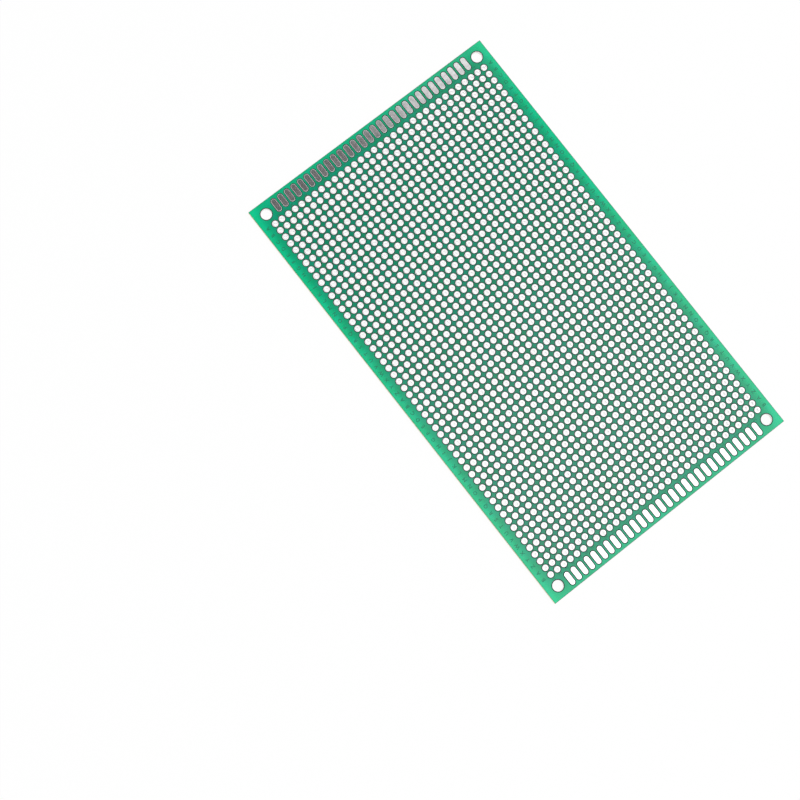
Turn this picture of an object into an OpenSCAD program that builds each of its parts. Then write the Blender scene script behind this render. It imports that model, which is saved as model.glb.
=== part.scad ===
// Double-sided prototype board: a drilled, green-coated laminate with a grid of plated holes and a row of
// oblong contact pads along each short end, the same on both faces.
// Origin: middle of the laminate's underside. X runs across the board, Y along it, +Z is up.
// All sizes are in millimetres.

/* [Board] */
// Width of the board, across the columns
board_w = 90; // [87.5:0.5:130]
// Length of the board, along the columns
board_l = 150; // [148.5:0.5:220]
// Thickness of the coated laminate
board_t = 1.6; // [0.8:0.1:3.2]

/* [Hole grid] */
// Distance from one hole to the next, both ways
pitch = 2.54; // [2.4:0.02:2.54]
// Number of columns of holes across the board
columns = 33; // [3:2:33]
// Number of rows of holes along the board
rows = 54; // [4:2:54]
// Diameter of a finished plated hole
hole_d = 1.0; // [0.7:0.05:1.1]
// Diameter of the round pad around each hole
pad_d = 1.94; // [1.7:0.02:2.1]

/* [Edge pads] */
// Number of oblong pads along each short end
edge_pads = 30; // [2:2:30]
// Width of an oblong pad
edge_pad_w = 1.84; // [1.2:0.02:2.1]
// Length of an oblong pad, round ends included
edge_pad_l = 4.44; // [3:0.02:4.6]
// Bare strip between the oblong pads and the short edge of the board
edge_margin = 1.06; // [0.5:0.02:1.1]

/* [Mounting holes] */
// Diameter of the mounting hole in each corner
mount_d = 3.5; // [2.2:0.1:3.6]
// Distance from a mounting hole's centre to the long edge
mount_from_side = 4; // [3:0.1:4.2]
// Distance from a mounting hole's centre to the short edge
mount_from_end = 3.7; // [3:0.1:4]

/* [Metal] */
// Height of a pad above the face that it lies on
pad_t = 0.04; // [0.03:0.01:0.08]
// Thickness of the metal that lines a hole
lining_t = 0.04; // [0.03:0.01:0.08]

/* [Hidden] */
drill_r = hole_d / 2 + lining_t;
edge_pad_y = board_l / 2 - edge_margin - edge_pad_l / 2;
mount_x = board_w / 2 - mount_from_side;
mount_y = board_l / 2 - mount_from_end;
mount_round = 96;
hole_round = 48;

// Name of the node that holds one column of plated holes
function column_name(c) = str("plated_holes_column_", c < 10 ? "0" : "", c);

// Distance of place number i from the middle of a row of n places at the grid's pitch
function place(i, n) = (i - (n - 1) / 2) * pitch;

// Outline of an oblong pad with round ends
module oblong() {
    straight = edge_pad_l - edge_pad_w;
    square([edge_pad_w, straight], center = true);
    for (end = [-1, 1])
        translate([0, end * straight / 2])
            circle(d = edge_pad_w, $fn = hole_round);
}

// Coated laminate, drilled for the linings of the plated holes and for the mounting screws
module laminate() {
    color("#2fa57c")
        linear_extrude(board_t)
            difference() {
                square([board_w, board_l], center = true);
                for (x = [-mount_x, mount_x], y = [-mount_y, mount_y])
                    translate([x, y])
                        circle(d = mount_d, $fn = mount_round);
                for (c = [0:columns - 1], r = [0:rows - 1])
                    translate([place(c, columns), place(r, rows)])
                        circle(r = drill_r, $fn = hole_round);
            }
}

// Tinned metal of one plated hole: a round pad on each face, joined by the lining of the hole
module plated_hole() {
    rotate_extrude($fn = hole_round)
        polygon([
            [hole_d / 2, -pad_t],
            [pad_d / 2, -pad_t],
            [pad_d / 2, 0],
            [drill_r, 0],
            [drill_r, board_t],
            [pad_d / 2, board_t],
            [pad_d / 2, board_t + pad_t],
            [hole_d / 2, board_t + pad_t]
        ]);
}

// The plated holes of one column, counted from 1 at the -X side
module plated_column(c) {
    color("#d9d9d6")
        for (r = [0:rows - 1])
            translate([place(c - 1, columns), place(r, rows)])
                plated_hole();
}

// The tinned oblong pads of one end, -1 for the front and 1 for the rear, with their undersides at height z
module edge_pad_row(end, z) {
    color("#d9d9d6")
        translate([0, 0, z])
            linear_extrude(pad_t)
                for (i = [0:edge_pads - 1])
                    translate([place(i, edge_pads), end * edge_pad_y])
                        oblong();
}

laminate();
edge_pad_row(-1, board_t);  // edge_pads_top_front
edge_pad_row(1, board_t);  // edge_pads_top_rear
edge_pad_row(-1, -pad_t);  // edge_pads_bottom_front
edge_pad_row(1, -pad_t);  // edge_pads_bottom_rear
for (c = [1:columns])
    plated_column(c);
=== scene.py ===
"""Looks of the prototype board: green coat, tinned metal, laminate edge, legend, camera and light."""
import logging
import math
from dataclasses import dataclass, field
from enum import Enum

import bpy
import numpy as np
from mathutils import Matrix, Vector


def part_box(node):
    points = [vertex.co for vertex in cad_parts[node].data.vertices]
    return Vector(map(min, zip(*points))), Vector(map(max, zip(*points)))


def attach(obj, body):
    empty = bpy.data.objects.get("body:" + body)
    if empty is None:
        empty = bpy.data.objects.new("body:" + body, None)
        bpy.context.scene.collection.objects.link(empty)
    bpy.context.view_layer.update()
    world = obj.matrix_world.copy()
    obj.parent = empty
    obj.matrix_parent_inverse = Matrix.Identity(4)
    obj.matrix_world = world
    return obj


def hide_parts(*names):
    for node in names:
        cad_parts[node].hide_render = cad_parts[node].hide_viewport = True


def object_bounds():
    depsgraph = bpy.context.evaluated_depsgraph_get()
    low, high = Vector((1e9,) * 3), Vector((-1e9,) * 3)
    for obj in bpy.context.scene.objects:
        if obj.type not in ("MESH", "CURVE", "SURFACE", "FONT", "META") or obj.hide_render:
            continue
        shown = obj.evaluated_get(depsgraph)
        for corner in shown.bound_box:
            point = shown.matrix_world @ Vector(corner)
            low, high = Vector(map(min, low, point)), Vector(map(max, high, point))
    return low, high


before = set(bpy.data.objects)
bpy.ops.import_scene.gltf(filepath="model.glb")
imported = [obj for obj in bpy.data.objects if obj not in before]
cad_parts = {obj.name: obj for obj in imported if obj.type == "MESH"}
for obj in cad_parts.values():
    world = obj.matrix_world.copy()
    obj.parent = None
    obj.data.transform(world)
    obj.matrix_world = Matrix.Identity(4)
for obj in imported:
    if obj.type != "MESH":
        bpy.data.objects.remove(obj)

logging.basicConfig(level=logging.INFO, format="%(message)s")
log = logging.getLogger("board")

MM = 0.001
WHITE = (1.0, 1.0, 1.0, 1.0)
Colour = tuple[float, float, float]
LETTERS = "ABCDEFGHIJKLMNOPQRSTUVWXYZ"
CAD_BOUNDS = [list(corner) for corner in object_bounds()]


class Face(Enum):
    """The two faces of the board, by the sign of their outward direction."""

    TOP = 1
    BOTTOM = -1


class End(Enum):
    """The two short ends of the board, by the sign of their Y."""

    REAR = 1
    FRONT = -1


@dataclass(frozen=True)
class Grid:
    """Where the board's features lie, in metres, read from the frame where it holds them.

    Attributes:
        pitch: distance from one hole to the next.
        columns: number of columns of holes.
        rows: number of rows of holes.
        hole_radius: radius of a plated hole.
        pad_radius: radius of a round pad.
        mount_radius: radius of a mounting hole.
        mount_x: X of the mounting holes at +X.
        mount_y: Y of the rear mounting holes.
        edge_pads: number of oblong pads along an end.
        edge_pad_width: width of an oblong pad's solder, a little less than the pad's own.
        edge_pad_length: length of an oblong pad.
        width: width of the board.
        length: length of the board.
        thickness: thickness of the board.
        pad_height: height of the metal above the board's face.
        edge_pad_y: Y of the middle of the rear oblong pads.
    """

    pitch: float = 2.54 * MM
    columns: int = 33
    rows: int = 54
    hole_radius: float = 0.5 * MM
    pad_radius: float = 0.97 * MM
    mount_radius: float = 1.75 * MM
    mount_x: float = 41.0 * MM
    mount_y: float = 71.3 * MM
    edge_pads: int = 30
    edge_pad_width: float = 1.62 * MM
    edge_pad_length: float = 4.44 * MM
    width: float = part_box("laminate")[1].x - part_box("laminate")[0].x
    length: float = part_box("laminate")[1].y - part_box("laminate")[0].y
    thickness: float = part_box("laminate")[1].z
    pad_height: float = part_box("edge_pads_top_rear")[1].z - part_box("laminate")[1].z
    edge_pad_y: float = (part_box("edge_pads_top_rear")[0].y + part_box("edge_pads_top_rear")[1].y) / 2

    def column_x(self, number: int) -> float:
        """X of a column of holes.

        Args:
            number: the column's number, from 1 at the -X side.

        Returns:
            The column's X in metres.
        """
        return (number - (self.columns + 1) / 2) * self.pitch

    def row_y(self) -> np.ndarray:
        """Y of every row of holes.

        Returns:
            One Y in metres for each row, from the front to the rear.
        """
        return (np.arange(self.rows) - (self.rows - 1) / 2) * self.pitch

    def edge_pad_x(self) -> np.ndarray:
        """X of every oblong pad of one end.

        Returns:
            One X in metres for each pad, from -X to +X.
        """
        return (np.arange(self.edge_pads) - (self.edge_pads - 1) / 2) * self.pitch


GRID = Grid()


# Materials

# Noise cells per metre of the slow mottle, the solder's skin and the fine grain
MOTTLE_CELLS, SKIN_CELLS, GRAIN_CELLS = 320.0, 900.0, 5200.0
# A gap in the coat ends softly between these shares of its width
GAP_EDGE = (0.9, 1.2)
# A surface is taken as flat where its upward part is past these values
FLAT_EDGE = (0.4, 0.6)


@dataclass(frozen=True)
class CoatedLaminateFinish:
    """Green coat on both faces, and the glass-fibre laminate that shows at the sawn sides and in the gaps,
    where it is painted near black as shade.

    Attributes:
        coat: the coat's colour, which shades into coat_cool where the mottle is within cool_edge.
        coat_cool: the coat's cooler shade.
        cool_edge: values of the mottle where the cooler shade starts and is full.
        side_gain: painted light that the coat gains at the long sides, for light from the table through the
            laminate.
        tip_share: share of that gain at the short ends.
        even_strip: width of the strip along the border where the gain stays the same.
        side_reach: distance from a long side in which the gain falls to 1 / e.
        tip_reach: the same from a short end.
        gap: colour in the gaps round the metal, a painted shade, near black, for the shade at the metal's
            edge.
        gap_width: width of the gap, and so of its painted shade, round a pad.
        mount_gap_width: width of the gap, and so of its painted shade, round a mounting hole.
        edge_gap_width: width of the gap, and so of its painted shade, along the border.
        sawn: colour of the sawn sides: the laminate's own yellowish colour, made paler as painted light for
            light through the laminate.
        sawn_dark: colour of the sawn sides between the layers of glass cloth, likewise made paler as painted
            light.
        bore: colour of the mounting holes' walls, painted light: near white, for light through the laminate.
        bore_reach: distance from a mounting hole's wall at which its painted light starts to end.
        cloth: thickness of a layer of glass cloth.
        cloth_wave: how far the layers stray from straight lines.
        coat_roughness: roughness of the coat.
        bare_roughness: roughness of the bare laminate.
        mottle: share by which the coat is lighter and darker from patch to patch.
        mottle_range: values between which the mottle mostly lies.
        wave: height of the coat's slow waves.
        step: height of the coat's edge at a gap.
    """

    coat: Colour = (0.0004, 0.256, 0.122)
    coat_cool: Colour = (0.0004, 0.248, 0.146)
    cool_edge: tuple[float, float] = (0.35, 0.65)
    side_gain: Colour = (0.0004, 0.480, 0.195)
    tip_share: float = 0.56
    even_strip: float = 1.0 * MM
    side_reach: float = 2.03 * MM
    tip_reach: float = 3.80 * MM
    gap: Colour = (0.001, 0.012, 0.009)
    gap_width: float = 0.23 * MM
    mount_gap_width: float = 0.25 * MM
    edge_gap_width: float = 0.08 * MM
    sawn: Colour = (0.96, 0.94, 0.70)
    sawn_dark: Colour = (0.86, 0.83, 0.56)
    bore: Colour = (0.98, 0.975, 0.95)
    bore_reach: float = 0.1 * MM
    cloth: float = 0.35 * MM
    cloth_wave: float = 1.2
    coat_roughness: float = 0.12
    bare_roughness: float = 0.55
    mottle: float = 0.06
    mottle_range: tuple[float, float] = (0.25, 0.75)
    wave: float = 0.020 * MM
    step: float = 0.015 * MM


@dataclass(frozen=True)
class TinFinish:
    """Levelled solder on the pads and in the holes.

    Attributes:
        colour: colour of the bright solder.
        dull: colour of the duller skin.
        dull_edge: values of the skin's noise where the duller skin starts and is full.
        roughness: least roughness.
        rough_spread: how much rougher the roughest skin is.
        rough_range: values of the skin's noise between which the roughness rises.
        bump: height of the slow waves.
    """

    colour: Colour = (0.985, 0.970, 0.975)
    dull: Colour = (0.93, 0.84, 0.88)
    dull_edge: tuple[float, float] = (0.52, 0.75)
    roughness: float = 0.08
    rough_spread: float = 0.04
    rough_range: tuple[float, float] = (0.3, 0.7)
    bump: float = 0.012 * MM


@dataclass(frozen=True)
class LegendFinish:
    """Printed letters and numbers, a darker green than the coat.

    Attributes:
        colour: colour of full ink.
        thin_share: how many times lighter thin ink is.
        thin_edge: values of the grain where thin ink starts and is full.
        roughness: roughness of the ink.
    """

    colour: Colour = (0.003, 0.190, 0.102)
    thin_share: float = 1.5
    thin_edge: tuple[float, float] = (0.45, 0.75)
    roughness: float = 0.25


class Nodes:
    """Short ways to add and join shader nodes in one tree."""

    def __init__(self, tree: bpy.types.NodeTree) -> None:
        """Starts the helper.

        Args:
            tree: the tree that the nodes go into.
        """
        self.tree = tree

    def add(self, kind: str, **settings: object) -> bpy.types.Node:
        """Adds a node.

        Args:
            kind: the node's type name.
            settings: attributes to set on it.

        Returns:
            The new node.
        """
        node = self.tree.nodes.new(kind)
        for name, value in settings.items():
            setattr(node, name, value)
        return node

    def join(self, source: bpy.types.NodeSocket, target: bpy.types.NodeSocket) -> None:
        """Links one socket to another.

        Args:
            source: the output socket.
            target: the input socket.
        """
        self.tree.links.new(source, target)

    def feed(self, target: bpy.types.NodeSocket, value: object) -> None:
        """Links a socket or sets a plain value.

        Args:
            target: the input socket.
            value: an output socket, or a number or a tuple to set.
        """
        if isinstance(value, bpy.types.NodeSocket):
            self.join(value, target)
        else:
            target.default_value = value

    def math(self, operation: str, *values: object) -> bpy.types.NodeSocket:
        """Adds a Math node.

        Args:
            operation: the node's operation.
            values: its inputs, each a socket or a number.

        Returns:
            The node's output socket.
        """
        node = self.add("ShaderNodeMath", operation=operation)
        for socket, value in zip(node.inputs, values):
            self.feed(socket, value)
        return node.outputs[0]

    def length(self, first: bpy.types.NodeSocket, second: bpy.types.NodeSocket) -> bpy.types.NodeSocket:
        """Adds the square root of the sum of two numbers' squares.

        Args:
            first: a number's socket.
            second: a number's socket.

        Returns:
            The length's socket.
        """
        squares = [self.math("MULTIPLY", side, side) for side in (first, second)]
        return self.math("SQRT", self.math("ADD", *squares))

    def folded(self, value: object, pitch: float, count: int) -> bpy.types.NodeSocket:
        """Adds the distance from a row's nearest place: the value less the pitch times the nearest step.

        Args:
            value: the coordinate's socket.
            pitch: distance from one place of the row to the next.
            count: number of places, whose middle is at zero.

        Returns:
            The distance's socket, with its sign.
        """
        half = (count - 1) / 2
        shift = half % 1.0
        steps = self.math("ADD", self.math("DIVIDE", value, pitch), shift)
        whole = self.math("SUBTRACT", self.math("ROUND", steps), shift)
        held = self.math("MAXIMUM", self.math("MINIMUM", whole, half), -half)
        return self.math("SUBTRACT", value, self.math("MULTIPLY", held, pitch))

    def ramp(self, value: object, low: float, high: float, at_low: object = 0.0, at_high: object = 1.0,
             smooth: bool = True) -> bpy.types.NodeSocket:
        """Maps a value from one range to another, held at both ends.

        Args:
            value: the input, a socket or a number.
            low: input at the range's start.
            high: input at the range's end.
            at_low: output at the range's start.
            at_high: output at the range's end.
            smooth: whether the change eases in and out.

        Returns:
            The mapped value's socket.
        """
        kind = "SMOOTHSTEP" if smooth else "LINEAR"
        node = self.add("ShaderNodeMapRange", interpolation_type=kind)
        for socket, item in zip(node.inputs, (value, low, high, at_low, at_high)):
            self.feed(socket, item)
        return node.outputs[0]

    def mix(self, factor: object, first: object, second: object) -> bpy.types.NodeSocket:
        """Mixes two colours.

        Args:
            factor: share of the second colour.
            first: a socket or a colour.
            second: a socket or a colour.

        Returns:
            The mixed colour's socket.
        """
        node = self.add("ShaderNodeMix", data_type="RGBA")
        self.feed(node.inputs[0], factor)
        # The node's colour sockets come after those for numbers and vectors
        for socket, colour in ((node.inputs[6], first), (node.inputs[7], second)):
            self.feed(socket, colour if isinstance(colour, bpy.types.NodeSocket) else (*colour, 1.0))
        return node.outputs[2]

    def total(self, first: object, second: object) -> bpy.types.NodeSocket:
        """Adds two colours.

        Args:
            first: a socket or a colour.
            second: a socket or a colour.

        Returns:
            The sum's socket.
        """
        node = self.add("ShaderNodeVectorMath", operation="ADD")
        self.feed(node.inputs[0], first)
        self.feed(node.inputs[1], second)
        return node.outputs[0]

    def scaled(self, colour: object, factor: object) -> bpy.types.NodeSocket:
        """Multiplies a colour by a number.

        Args:
            colour: a socket or a colour.
            factor: a socket or a number.

        Returns:
            The product's socket.
        """
        node = self.add("ShaderNodeVectorMath", operation="SCALE")
        self.feed(node.inputs[0], colour)
        self.feed(node.inputs["Scale"], factor)
        return node.outputs[0]

    def place(self) -> bpy.types.NodeSocket:
        """Adds the Object coordinates and returns their socket."""
        return self.add("ShaderNodeTexCoord").outputs["Object"]

    def group(self, tree: bpy.types.NodeTree) -> bpy.types.Node:
        """Adds a shared node group and returns its node."""
        return self.add("ShaderNodeGroup", node_tree=tree)

    def noise(self, scale: float, detail: float = 3.0) -> bpy.types.NodeSocket:
        """Adds a noise texture on Object coordinates.

        Args:
            scale: noise cells per metre.
            detail: number of finer layers.

        Returns:
            The noise value's socket.
        """
        node = self.add("ShaderNodeTexNoise")
        self.join(self.place(), node.inputs["Vector"])
        node.inputs["Scale"].default_value = scale
        node.inputs["Detail"].default_value = detail
        return node.outputs[0]


class Effects:
    """Shader node groups that the materials are built from."""

    def __init__(self, grid: Grid) -> None:
        """Makes the groups.

        Args:
            grid: the board's layout.
        """
        self.grid = grid
        self.uneven = self.make_uneven()
        self.layout = self.make_layout()

    def group(self, name: str, *outputs: str) -> tuple[Nodes, bpy.types.Node, bpy.types.NodeTree]:
        """Makes a node group that puts out plain values.

        Args:
            name: the group's name.
            outputs: names of its output sockets.

        Returns:
            The helper for the group's tree, the node that takes its outputs, and the tree.
        """
        tree = bpy.data.node_groups.new(name, "ShaderNodeTree")
        for label in outputs:
            tree.interface.new_socket(label, in_out="OUTPUT", socket_type="NodeSocketFloat")
        nodes = Nodes(tree)
        return nodes, nodes.add("NodeGroupOutput"), tree

    def make_uneven(self) -> bpy.types.NodeTree:
        """Group with two sizes of noise on Object coordinates: a slow mottle and a fine grain.

        Returns:
            The group's tree, with outputs Mottle and Grain.
        """
        nodes, end, tree = self.group("Uneven", "Mottle", "Grain")
        nodes.join(nodes.noise(MOTTLE_CELLS, detail=2.0), end.inputs["Mottle"])
        nodes.join(nodes.noise(GRAIN_CELLS), end.inputs["Grain"])
        return tree

    def make_layout(self) -> bpy.types.NodeTree:
        """Group that tells where a point lies on the board.

        A hole's distance is found by folding X and Y back into one cell of the grid. An oblong pad's is the
        distance from the straight line that joins the centres of its round ends, less half its width.

        Returns:
            The group's tree. Pad is the distance from the nearest pad's outline, Mount that from the nearest
            mounting hole's, Side that to the nearest long side and Tip that to the nearest end, in metres.
        """
        grid = self.grid
        nodes, end, tree = self.group("Layout", "Pad", "Mount", "Side", "Tip")
        place = nodes.add("ShaderNodeSeparateXYZ")
        nodes.join(nodes.place(), place.inputs[0])
        x, y = place.outputs[0], place.outputs[1]
        in_column = nodes.folded(x, grid.pitch, grid.columns)
        from_hole = nodes.length(in_column, nodes.folded(y, grid.pitch, grid.rows))
        round_pad = nodes.math("SUBTRACT", from_hole, grid.pad_radius)
        straight = (grid.edge_pad_length - grid.edge_pad_width) / 2
        along = nodes.math("SUBTRACT", nodes.math("ABSOLUTE", y), grid.edge_pad_y)
        past = nodes.math("MAXIMUM", nodes.math("SUBTRACT", nodes.math("ABSOLUTE", along), straight), 0.0)
        from_line = nodes.length(nodes.folded(x, grid.pitch, grid.edge_pads), past)
        oblong_pad = nodes.math("SUBTRACT", from_line, grid.edge_pad_width / 2)
        nodes.join(nodes.math("MINIMUM", round_pad, oblong_pad), end.inputs["Pad"])
        across, upward = nodes.math("ABSOLUTE", x), nodes.math("ABSOLUTE", y)
        beside = nodes.math("SUBTRACT", across, grid.mount_x)
        beyond = nodes.math("SUBTRACT", upward, grid.mount_y)
        from_mount = nodes.length(beside, beyond)
        nodes.join(nodes.math("SUBTRACT", from_mount, grid.mount_radius), end.inputs["Mount"])
        nodes.join(nodes.math("SUBTRACT", grid.width / 2, across), end.inputs["Side"])
        nodes.join(nodes.math("SUBTRACT", grid.length / 2, upward), end.inputs["Tip"])
        return tree


class Finishes:
    """The object's materials, made once and shared by its pieces."""

    def __init__(self, grid: Grid) -> None:
        """Makes the materials.

        Args:
            grid: the board's layout.
        """
        self.effects = Effects(grid)
        self.laminate = self.make_laminate(CoatedLaminateFinish())
        self.tin = self.make_tin(TinFinish())
        self.legend = self.make_legend(LegendFinish())

    def start(self, name: str) -> tuple[bpy.types.Material, Nodes, bpy.types.Node]:
        """Makes a material with its main shader.

        Args:
            name: the material's name.

        Returns:
            The material, the helper for its nodes and its Principled shader.
        """
        material = bpy.data.materials.new(name)
        material.use_nodes = True
        nodes = Nodes(material.node_tree)
        return material, nodes, material.node_tree.nodes["Principled BSDF"]

    def bump(self, nodes: Nodes, shader: bpy.types.Node, height: object, distance: float) -> None:
        """Gives a shader a bump.

        Args:
            nodes: the material's helper.
            shader: the Principled shader.
            height: the height's socket.
            distance: the height of the bump in metres.
        """
        node = nodes.add("ShaderNodeBump")
        node.inputs["Distance"].default_value = distance
        nodes.join(height, node.inputs["Height"])
        nodes.join(node.outputs[0], shader.inputs["Normal"])

    def past_gap(self, nodes: Nodes, distance: object, width: float) -> bpy.types.NodeSocket:
        """Adds a mask that is 0 in a gap of the coat and 1 past it.

        Args:
            nodes: the material's helper.
            distance: the socket of the distance from what the gap surrounds.
            width: the gap's width.

        Returns:
            The mask's socket.
        """
        return nodes.ramp(distance, *(share * width for share in GAP_EDGE))

    def make_laminate(self, finish: CoatedLaminateFinish) -> bpy.types.Material:
        """Green coat brightened towards the sides by painted light, for the table's light through the
        laminate, and bare laminate elsewhere.

        The coat's colour is its own plus a painted gain of light that falls off as exp(-distance / reach)
        from the board's sides and ends, apart from an even strip along them. The two gains meet as a + b - a
        * b. The coat stops a little short of each pad, of each mounting hole and of the board's edge, and
          these gaps are painted
        near black as shade.

        Args:
            finish: the laminate's colours and gloss.

        Returns:
            The material.
        """
        material, nodes, shader = self.start("coated_laminate")
        layout = nodes.group(self.effects.layout)
        uneven = nodes.group(self.effects.uneven)
        # Painted light: the coat's colour is raised towards the sides and ends, for the table's light
        # through the laminate
        from_side = nodes.math("MAXIMUM", layout.outputs["Side"], finish.even_strip)
        from_tip = nodes.math("MAXIMUM", layout.outputs["Tip"], finish.even_strip)
        near_side = nodes.math("EXPONENT", nodes.math("DIVIDE", from_side, -finish.side_reach))
        near_tip = nodes.math("EXPONENT", nodes.math("DIVIDE", from_tip, -finish.tip_reach))
        light, dark = 1.0 + finish.mottle, 1.0 - finish.mottle
        patchy = nodes.ramp(uneven.outputs["Mottle"], *finish.mottle_range, dark, light)
        tips = nodes.math("MULTIPLY", near_tip, finish.tip_share)
        shared = nodes.math("MULTIPLY", near_side, tips)
        both = nodes.math("SUBTRACT", nodes.math("ADD", near_side, tips), shared)
        cool = nodes.ramp(uneven.outputs["Mottle"], *finish.cool_edge)
        plain = nodes.mix(cool, finish.coat, finish.coat_cool)
        coat = nodes.scaled(nodes.total(nodes.scaled(finish.side_gain, both), plain), patchy)
        border = nodes.math("MINIMUM", layout.outputs["Side"], layout.outputs["Tip"])
        at_pad = self.past_gap(nodes, layout.outputs["Pad"], finish.gap_width)
        at_mount = self.past_gap(nodes, layout.outputs["Mount"], finish.mount_gap_width)
        at_edge = self.past_gap(nodes, border, finish.edge_gap_width)
        coated = nodes.math("MINIMUM", nodes.math("MINIMUM", at_pad, at_mount), at_edge)
        layers = nodes.add("ShaderNodeTexWave", wave_type="BANDS", bands_direction="Z")
        nodes.join(nodes.place(), layers.inputs["Vector"])
        layers.inputs["Scale"].default_value = 0.5 / finish.cloth
        layers.inputs["Distortion"].default_value = finish.cloth_wave
        # Painted light: the mounting holes' walls are near white, for light through the laminate
        outside = nodes.ramp(layout.outputs["Mount"], finish.bore_reach, 3 * finish.bore_reach)
        # The sawn sides are partly their own colour and partly painted light: paler than bare laminate, for
        # light through it
        layered = nodes.mix(layers.outputs["Fac"], finish.sawn_dark, finish.sawn)
        sawn = nodes.mix(outside, finish.bore, layered)
        normal = nodes.add("ShaderNodeSeparateXYZ")
        nodes.join(nodes.add("ShaderNodeTexCoord").outputs["Normal"], normal.inputs[0])
        flat = nodes.ramp(nodes.math("ABSOLUTE", normal.outputs[2]), *FLAT_EDGE)
        # The gaps in the coat take a painted shade, near black, for the shade at the metal's edge
        nodes.join(nodes.mix(flat, sawn, nodes.mix(coated, finish.gap, coat)), shader.inputs["Base Color"])
        covered = nodes.math("MULTIPLY", flat, coated)
        low, high = finish.bare_roughness, finish.coat_roughness
        nodes.join(nodes.ramp(covered, 0.0, 1.0, low, high, smooth=False), shader.inputs["Roughness"])
        rise = nodes.math("MULTIPLY", covered, finish.step / finish.wave)
        self.bump(nodes, shader, nodes.math("ADD", uneven.outputs["Mottle"], rise), finish.wave)
        return material

    def make_tin(self, finish: TinFinish) -> bpy.types.Material:
        """Bright solder with slow waves and patches of duller skin.

        Args:
            finish: the solder's colours and gloss.

        Returns:
            The material.
        """
        material, nodes, shader = self.start("levelled_solder")
        uneven = nodes.group(self.effects.uneven)
        skin = nodes.noise(SKIN_CELLS)
        patch = nodes.ramp(skin, *finish.dull_edge)
        nodes.join(nodes.mix(patch, finish.colour, finish.dull), shader.inputs["Base Color"])
        low, high = finish.roughness, finish.roughness + finish.rough_spread
        nodes.join(nodes.ramp(skin, *finish.rough_range, low, high), shader.inputs["Roughness"])
        shader.inputs["Metallic"].default_value = 1.0
        self.bump(nodes, shader, uneven.outputs["Mottle"], finish.bump)
        return material

    def make_legend(self, finish: LegendFinish) -> bpy.types.Material:
        """Dark green print, broken up where the ink is thin.

        Args:
            finish: the print's colour and gloss.

        Returns:
            The material.
        """
        material, nodes, shader = self.start("printed_legend")
        uneven = nodes.group(self.effects.uneven)
        thin = nodes.ramp(uneven.outputs["Grain"], *finish.thin_edge)
        pale = tuple(finish.thin_share * channel for channel in finish.colour)
        nodes.join(nodes.mix(thin, finish.colour, pale), shader.inputs["Base Color"])
        shader.inputs["Roughness"].default_value = finish.roughness
        return material


# Pieces

@dataclass
class Piece:
    """A new mesh that rides on the board.

    Attributes:
        name: the piece's name.
        slot: name of a material slot; not used.
        material: its material.
        replaces: the CAD nodes that it stands for.
    """

    name: str
    slot: str
    material: bpy.types.Material
    replaces: tuple[str, ...] = ()

    def place(self, points: np.ndarray, faces: np.ndarray, smooth: bool = True,
              normals: np.ndarray | None = None) -> bpy.types.Object:
        """Makes the mesh and hangs it on the board.

        Args:
            points: one row for each vertex, in metres.
            faces: one row of four corners for each face, or three.
            smooth: whether the faces are shaded as one curved surface.
            normals: one row for each vertex, where the curved surface that the mesh stands for is known.

        Returns:
            The new object.
        """
        mesh = bpy.data.meshes.new(self.name)
        mesh.vertices.add(len(points))
        mesh.vertices.foreach_set("co", points.astype(np.float32).ravel())
        corners = faces.shape[1]
        mesh.loops.add(faces.size)
        mesh.loops.foreach_set("vertex_index", faces.astype(np.int32).ravel())
        mesh.polygons.add(len(faces))
        mesh.polygons.foreach_set("loop_start", np.arange(0, faces.size, corners, dtype=np.int32))
        mesh.polygons.foreach_set("use_smooth", np.full(len(faces), smooth))
        mesh.update(calc_edges=True)
        mesh.validate()
        if normals is not None:
            mesh.normals_split_custom_set_from_vertices(normals)
        mesh.materials.append(self.material)
        piece = bpy.data.objects.new(self.name, mesh)
        bpy.context.collection.objects.link(piece)
        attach(piece, "root")
        if self.replaces:
            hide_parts(*self.replaces)
        log.info("piece %s: %d vertices, %d faces", self.name, len(points), len(faces))
        return piece


def copies(points: np.ndarray, faces: np.ndarray, places: np.ndarray) -> tuple[np.ndarray, np.ndarray]:
    """Repeats one shape at many places.

    Args:
        points: the shape's vertices.
        faces: the shape's faces.
        places: one row of x, y, z for each copy.

    Returns:
        The vertices and faces of all copies together.
    """
    moved = points[None] + places[:, None]
    shifted = faces[None] + (np.arange(len(places)) * len(points))[:, None, None]
    return moved.reshape(-1, 3), shifted.reshape(-1, faces.shape[1])


def ring_faces(rings: int, sides: int) -> np.ndarray:
    """Quads between rings of vertices, ring by ring.

    Args:
        rings: number of rings.
        sides: number of vertices on a ring.

    Returns:
        One row of four corners for each quad.
    """
    ring, side = np.meshgrid(np.arange(rings - 1), np.arange(sides), indexing="ij")
    after, beside = ring + 1, (side + 1) % sides
    corners = (ring * sides + side, ring * sides + beside, after * sides + beside, after * sides + side)
    return np.stack(corners, axis=-1).reshape(-1, 4)


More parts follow.
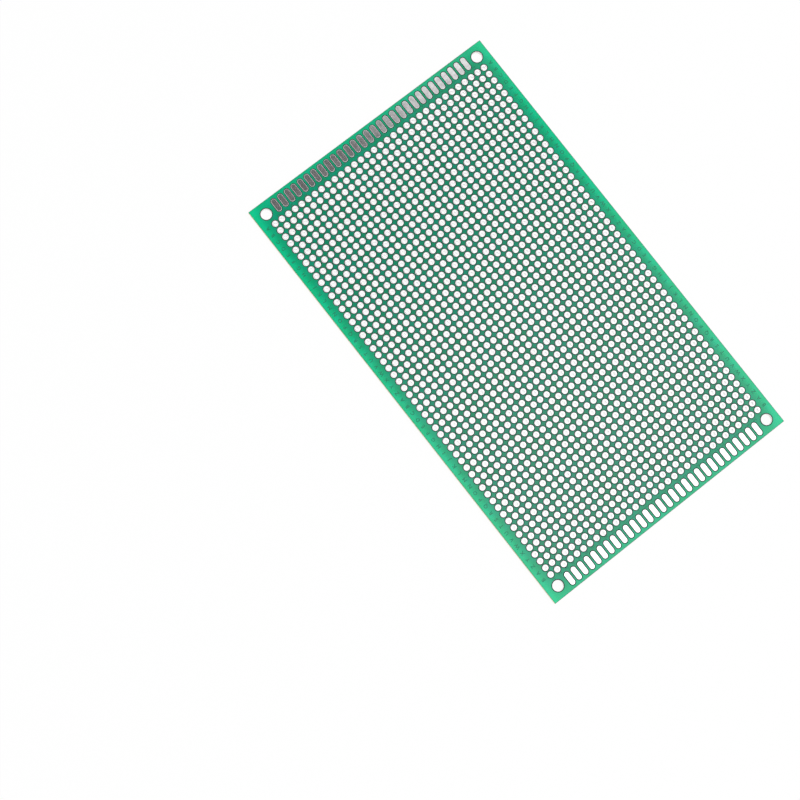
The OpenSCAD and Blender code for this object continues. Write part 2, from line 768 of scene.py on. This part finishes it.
@dataclass
class PlatedColumn:
    """One column of plated holes, each a tinned eyelet with a low round swell of solder on both faces.

    Attributes:
        number: the column's number, from 1.
        grid: the board's layout.
        finishes: the board's materials.
        sides: number of sides of a round.
        crown: the crown's radius.
        lip: height of the hole's lip above the board's face.
        sunk: how far the rim lies below the board's face, as a share of the pad's height.
        rim_lean: lean of the surface at the pad's rim, in degrees outwards from straight up.
        lip_lean: lean of the surface at the hole's lip, in degrees inwards.
    """

    number: int
    grid: Grid
    finishes: Finishes
    sides: int = 12
    crown: float = 0.74 * MM
    lip: float = 0.024 * MM
    sunk: float = 0.1
    rim_lean: float = 30.0
    lip_lean: float = 33.0

    def profile(self) -> np.ndarray:
        """Section of the eyelet, in a run from the top's rim through the hole to the underside's rim.

        The radii of rim and lip are those of a circle with the polygon's area.

        Returns:
            One row of radius, height and lean in degrees for each ring.
        """
        grid = self.grid
        equal = math.sqrt(2 * math.pi / (self.sides * math.sin(2 * math.pi / self.sides)))
        upper = np.array([
            (grid.pad_radius * equal, -self.sunk * grid.pad_height, self.rim_lean),
            (self.crown, grid.pad_height, 0.0),
            (grid.hole_radius * equal, self.lip, -self.lip_lean),
        ])
        lower = upper[::-1] * (1, -1, -1) + (0, 0, -180)
        upper[:, 1] += grid.thickness
        return np.vstack([upper, lower])

    def around(self, outward: np.ndarray, upward: np.ndarray) -> np.ndarray:
        """Turns a run of rings round the hole's axis.

        Each side of a ring is at outward times (cos, sin) of the side's angle, and at upward along the axis.

        Args:
            outward: the part away from the axis, for each ring.
            upward: the part along the axis, for each ring.

        Returns:
            One row of x, y and z for each side of each ring.
        """
        angle = np.arange(self.sides) * 2 * np.pi / self.sides
        turn = np.stack([np.cos(angle), np.sin(angle)], axis=-1)
        level = np.repeat(upward[:, None, None], self.sides, axis=1)
        return np.concatenate([outward[:, None, None] * turn, level], axis=-1).reshape(-1, 3)

    def build(self) -> bpy.types.Object:
        """Makes the column.

        Returns:
            The column's object.
        """
        radius, height, lean = self.profile().T
        tilt = np.radians(lean)
        points, normals = self.around(radius, height), self.around(np.sin(tilt), np.cos(tilt))
        faces = ring_faces(len(radius), self.sides)
        rows = self.grid.row_y()
        across = np.full(len(rows), self.grid.column_x(self.number))
        places = np.column_stack([across, rows, np.zeros(len(rows))])
        node = f"plated_holes_column_{self.number:02d}"
        piece = Piece(f"solder_column_{self.number:02d}", "tinned_copper", self.finishes.tin, (node,))
        return piece.place(*copies(points, faces, places), normals=np.tile(normals, (len(rows), 1)))


@dataclass
class EdgePadRow:
    """The oblong pads of one end on one face: flat in the middle and rounded down at their outline.

    Attributes:
        face: the face that they lie on.
        end: the end that they lie along.
        grid: the board's layout.
        finishes: the board's materials.
        insets: distance of each ring from the outline, as a share of half the pad's width.
        heights: height of each ring above the board's face, as a share of the pad's height.
        arc_steps: steps round each half-round end.
    """

    face: Face
    end: End
    grid: Grid
    finishes: Finishes
    insets: tuple[float, ...] = (0.0, 0.02, 0.06, 0.11, 0.97)
    heights: tuple[float, ...] = (-0.1, 0.6, 1.0, 1.0, 1.0)
    arc_steps: int = 8

    def outline(self, inset: float) -> np.ndarray:
        """Outline of a pad moved inwards: two half circles joined by straight sides.

        Args:
            inset: distance from the pad's true outline, in metres.

        Returns:
            One row of x and y for each point, anticlockwise.
        """
        radius = self.grid.edge_pad_width / 2 - inset
        straight = (self.grid.edge_pad_length - self.grid.edge_pad_width) / 2
        arc = np.linspace(0.0, np.pi, self.arc_steps + 1)
        far = np.column_stack([radius * np.cos(arc), straight + radius * np.sin(arc)])
        return np.vstack([far, -far])

    def build(self) -> bpy.types.Object:
        """Makes the row.

        Returns:
            The row's object.
        """
        grid = self.grid
        rings = []
        for inset, share in zip(self.insets, self.heights):
            outline = self.outline(inset * grid.edge_pad_width / 2)
            height = share * grid.pad_height
            z = grid.thickness + height if self.face is Face.TOP else -height
            rings.append(np.column_stack([outline, np.full(len(outline), z)]))
        sides = len(rings[0])
        points = np.vstack(rings)
        faces = ring_faces(len(rings), sides)
        last = (len(rings) - 1) * sides
        index = np.arange(sides // 2 - 1)
        closing = last + np.column_stack([index, index + 1, sides - 2 - index, sides - 1 - index])
        faces = np.vstack([faces, closing])
        if self.face is Face.BOTTOM:
            faces = faces[:, ::-1]
        across = grid.edge_pad_x()
        along = np.full(len(across), self.end.value * grid.edge_pad_y)
        places = np.column_stack([across, along, np.zeros(len(across))])
        name = f"edge_pads_{self.face.name.lower()}_{self.end.name.lower()}"
        piece = Piece(f"solder_{name}", "tinned_copper", self.finishes.tin, (name,))
        return piece.place(*copies(points, faces, places))


@dataclass
class Legend:
    """Printed row letters along the long sides and column numbers along the short ends.

    Attributes:
        grid: the board's layout.
        finishes: the board's materials.
        height: height of a letter in metres.
        cap_share: height of a capital as a share of the font's size.
        from_side: distance of the letters' middle from the long side.
        from_first_row: distance of the numbers' middle from the outermost row of holes.
        lift: how far the print stands above the coat.
        bold: how much wider a stroke is on each side than the font's own.
        glyphs: meshes made so far, by their words.
    """

    grid: Grid
    finishes: Finishes
    height: float = 1.15 * MM
    cap_share: float = 0.7
    from_side: float = 1.65 * MM
    from_first_row: float = 1.55 * MM
    lift: float = 0.001 * MM
    bold: float = 0.03 * MM
    glyphs: dict[str, tuple[np.ndarray, np.ndarray]] = field(default_factory=dict)

    def glyph(self, words: str) -> tuple[np.ndarray, np.ndarray]:
        """Flat mesh of a short word, centred on the origin.

        Args:
            words: the letters or digits.

        Returns:
            The vertices and the triangles.
        """
        if words not in self.glyphs:
            curve = bpy.data.curves.new("legend_text", "FONT")
            curve.body = words
            curve.align_x, curve.align_y = "CENTER", "CENTER"
            curve.size = self.height / self.cap_share
            curve.offset = self.bold
            curve.resolution_u = 2
            holder = bpy.data.objects.new("legend_text", curve)
            bpy.context.collection.objects.link(holder)
            finished = holder.evaluated_get(bpy.context.evaluated_depsgraph_get())
            mesh = bpy.data.meshes.new_from_object(finished)
            mesh.calc_loop_triangles()
            points = np.zeros(len(mesh.vertices) * 3, np.float32)
            mesh.vertices.foreach_get("co", points)
            faces = np.zeros(len(mesh.loop_triangles) * 3, np.int32)
            mesh.loop_triangles.foreach_get("vertices", faces)
            self.glyphs[words] = points.reshape(-1, 3).astype(float), faces.reshape(-1, 3)
            bpy.data.objects.remove(holder)
            bpy.data.curves.remove(curve)
            bpy.data.meshes.remove(mesh)
        return self.glyphs[words]

    def marks(self) -> list[tuple[str, float, float]]:
        """What is printed and where.

        Returns:
            For each mark, its words and the x and y of its middle.
        """
        grid = self.grid
        marks = []
        for step, y in enumerate(grid.row_y()[::-1]):
            letter = LETTERS[step % len(LETTERS)]
            for side in (-1, 1):
                marks.append((letter, side * (grid.width / 2 - self.from_side), float(y)))
        beyond = grid.row_y()[-1] + self.from_first_row
        for number in range(1, grid.columns + 1):
            for end in End:
                marks.append((str(number), grid.column_x(number), end.value * beyond))
        return marks

    def build(self) -> bpy.types.Object:
        """Makes the whole legend as one piece.

        Returns:
            The legend's object.
        """
        points, faces, count = [], [], 0
        for words, x, y in self.marks():
            shape, triangles = self.glyph(words)
            turned = np.column_stack([-shape[:, 1], shape[:, 0], shape[:, 2]])
            points.append(turned + np.array([x, y, self.grid.thickness + self.lift]))
            faces.append(triangles + count)
            count += len(shape)
        piece = Piece("printed_legend", "coated_laminate", self.finishes.legend)
        return piece.place(np.vstack(points), np.vstack(faces), smooth=False)


@dataclass
class Board:
    """The whole prototype board.

    Attributes:
        grid: the board's layout.
        finishes: the board's materials.
    """

    grid: Grid
    finishes: Finishes

    def build(self) -> None:
        """Dresses the CAD plate and adds the metal and the print."""
        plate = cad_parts["laminate"]
        plate.data.materials.clear()
        plate.data.materials.append(self.finishes.laminate)
        log.info("node laminate: %s", self.finishes.laminate.name)
        for number in range(1, self.grid.columns + 1):
            PlatedColumn(number, self.grid, self.finishes).build()
        for face in Face:
            for end in End:
                EdgePadRow(face, end, self.grid, self.finishes).build()
        Legend(self.grid, self.finishes).build()


# Stage

@dataclass(frozen=True)
class Spot:
    """An oval part of the room, told by slopes as seen from the board.

    Attributes:
        x: slope x / z of its middle.
        y: slope y / z of its middle.
        wide: half its width in x / z.
        deep: half its width in y / z.
        soft: share of its size over which it fades on each side of its outline.
    """

    x: float
    y: float
    wide: float
    deep: float
    soft: float

    def mask(self, nodes: Nodes, slope_x: object, slope_y: object) -> bpy.types.NodeSocket:
        """Adds a mask that is 1 within the spot and 0 outside, from the length of ((x, y) - middle) / size.

        Args:
            nodes: the room's helper.
            slope_x: the socket of x / z.
            slope_y: the socket of y / z.

        Returns:
            The mask's socket.
        """
        across = nodes.math("DIVIDE", nodes.math("SUBTRACT", slope_x, self.x), self.wide)
        along = nodes.math("DIVIDE", nodes.math("SUBTRACT", slope_y, self.y), self.deep)
        return nodes.ramp(nodes.length(across, along), 1.0 + self.soft, 1.0 - self.soft)


@dataclass(frozen=True)
class Room:
    """What the metal mirrors: a softbox with a dark gap beyond it, the camera, and a white room around them.

    Each pair holds the slopes, or the radiances, at the start and at the end of a soft change.

    Attributes:
        softbox_y: slopes y / z between which the softbox brightens towards the front.
        softbox_levels: radiance in the dark gap and in the softbox.
        beside_x: slopes x / z where the lit part beside the dark gap starts.
        beside_y: slopes y / z where that part starts.
        beside_level: radiance of that part.
        near: the part of the room that holds softbox and gap.
        lens: the camera.
        lens_depth: how much darker the camera is than the white room.
        around: radiance of the white room.
        horizon: least height of a direction for which slopes are worked out.
    """

    softbox_y: tuple[float, float] = (0.15, -0.045)
    softbox_levels: tuple[float, float] = (0.125, 1.65)
    beside_x: tuple[float, float] = (0.206, 0.250)
    beside_y: tuple[float, float] = (0.155, 0.185)
    beside_level: float = 0.82
    near: Spot = Spot(0.20, 0.10, 0.34, 0.32, 0.20)
    lens: Spot = Spot(-0.17, -0.05, 0.09, 0.09, 0.40)
    lens_depth: float = 0.90
    around: float = 1.15
    horizon: float = 0.02


@dataclass(frozen=True)
class Studio:
    """Camera, floor and light.

    Attributes:
        eye: the camera's place.
        towards: the camera's line of sight.
        up: the camera's upward direction.
        lens: focal length in millimetres.
        sensor: width of the camera's sensor in millimetres.
        clip: nearest and farthest distance that the camera sees.
        fill: radiance of the white room for all but mirrored light.
        mirrored: the room as the metal mirrors it.
        floor_glow: share of the floor's white that doesn't depend on light, as of a lit table.
        floor_white: how white the floor is for the light that falls on it.
        floor_size: width of the floor in metres.
        lamp_place: x, y and z of the lamp.
        lamp_size: width of the lamp in metres.
        lamp_watts: strength of the lamp.
    """

    eye: tuple[float, float, float] = (-0.123394, -0.036203, 0.591856)
    towards: tuple[float, float, float] = (0.13318623, 0.06349973, -0.98905471)
    up: tuple[float, float, float] = (0.60508644, 0.78515946, 0.13189018)
    lens: float = 89.166
    sensor: float = 36.0
    clip: tuple[float, float] = (0.01, 50.0)
    fill: float = 0.74
    mirrored: Room = Room()
    floor_glow: float = 0.92
    floor_white: float = 0.90
    floor_size: float = 3.0
    lamp_place: tuple[float, float, float] = (0.25, -0.35, 1.2)
    lamp_size: float = 1.1
    lamp_watts: float = 5.0

    def camera(self) -> None:
        """Adds the camera with the photograph's view."""
        data = bpy.data.cameras.new("camera")
        data.lens = self.lens
        data.sensor_width = self.sensor
        data.clip_start, data.clip_end = self.clip
        camera = bpy.data.objects.new("camera", data)
        back = -Vector(self.towards).normalized()
        right = Vector(self.up).cross(back).normalized()
        above = back.cross(right)
        turn = Matrix((right, above, back)).transposed().to_4x4()
        camera.matrix_world = Matrix.Translation(self.eye) @ turn
        bpy.context.collection.objects.link(camera)
        bpy.context.scene.camera = camera

    def floor(self) -> None:
        """Adds a white floor under the lowest solder, which glows and still takes the board's shadow."""
        half, level = self.floor_size / 2, CAD_BOUNDS[0][2]
        corners = [(x * half, y * half, level) for x, y in ((-1, -1), (1, -1), (1, 1), (-1, 1))]
        mesh = bpy.data.meshes.new("floor")
        mesh.from_pydata(corners, [], [(0, 1, 2, 3)])
        material = bpy.data.materials.new("white_floor")
        material.use_nodes = True
        nodes = Nodes(material.node_tree)
        shader = material.node_tree.nodes["Principled BSDF"]
        path = nodes.add("ShaderNodeLightPath")
        seen = nodes.math("MAXIMUM", path.outputs["Is Camera Ray"], path.outputs["Is Glossy Ray"])
        white, dimmed = (self.floor_white,) * 3, (1.0 - self.floor_glow,) * 3
        nodes.join(nodes.mix(seen, white, dimmed), shader.inputs["Base Color"])
        shader.inputs["Roughness"].default_value = 1.0
        shader.inputs["Specular IOR Level"].default_value = 0.0
        shader.inputs["Emission Color"].default_value = WHITE
        nodes.join(nodes.math("MULTIPLY", seen, self.floor_glow), shader.inputs["Emission Strength"])
        mesh.materials.append(material)
        floor = bpy.data.objects.new("floor", mesh)
        bpy.context.collection.objects.link(floor)

    def lamp(self) -> None:
        """Adds one wide soft lamp overhead, which mirrors don't show because the room's own map holds it."""
        data = bpy.data.lights.new("softbox", "AREA")
        data.shape = "SQUARE"
        data.size = self.lamp_size
        data.energy = self.lamp_watts
        lamp = bpy.data.objects.new("softbox", data)
        lamp.location = self.lamp_place
        lamp.rotation_euler = (-Vector(self.lamp_place)).to_track_quat("-Z", "Y").to_euler()
        lamp.visible_glossy = False
        bpy.context.collection.objects.link(lamp)

    def room(self) -> None:
        """Makes the white room, and the room that the metal mirrors."""
        room = self.mirrored
        world = bpy.data.worlds.new("white_room")
        bpy.context.scene.world = world
        world.use_nodes = True
        world.cycles.sampling_method = "NONE"
        nodes = Nodes(world.node_tree)
        background = world.node_tree.nodes["Background"]
        way = nodes.add("ShaderNodeSeparateXYZ")
        nodes.join(nodes.add("ShaderNodeTexCoord").outputs["Generated"], way.inputs[0])
        height = nodes.math("MAXIMUM", way.outputs[2], room.horizon)
        slope_x = nodes.math("DIVIDE", way.outputs[0], height)
        slope_y = nodes.math("DIVIDE", way.outputs[1], height)
        softbox = nodes.ramp(slope_y, *room.softbox_y, *room.softbox_levels)
        past_x, past_y = nodes.ramp(slope_x, *room.beside_x), nodes.ramp(slope_y, *room.beside_y)
        beside = nodes.math("MULTIPLY", nodes.math("MULTIPLY", past_x, past_y), room.beside_level)
        lit = nodes.math("ADD", softbox, beside)
        lens = nodes.math("MULTIPLY", room.lens.mask(nodes, slope_x, slope_y), room.lens_depth)
        around = nodes.math("SUBTRACT", room.around, lens)
        near = room.near.mask(nodes, slope_x, slope_y)
        mirrored = nodes.ramp(near, 0.0, 1.0, around, lit, smooth=False)
        path = nodes.add("ShaderNodeLightPath")
        other = nodes.ramp(path.outputs["Is Glossy Ray"], 0.0, 1.0, self.fill, mirrored, smooth=False)
        strength = nodes.ramp(path.outputs["Is Camera Ray"], 0.0, 1.0, other, 1.0, smooth=False)
        nodes.join(strength, background.inputs["Strength"])
        background.inputs["Color"].default_value = WHITE

    def build(self) -> None:
        """Adds camera, floor, lamp and room."""
        self.camera()
        self.floor()
        self.lamp()
        self.room()
        bpy.context.scene.view_settings.view_transform = "Standard"


def main() -> None:
    """Builds the board and its stage in order."""
    Board(GRID, Finishes(GRID)).build()
    Studio().build()


if __name__ == "__main__":
    main()
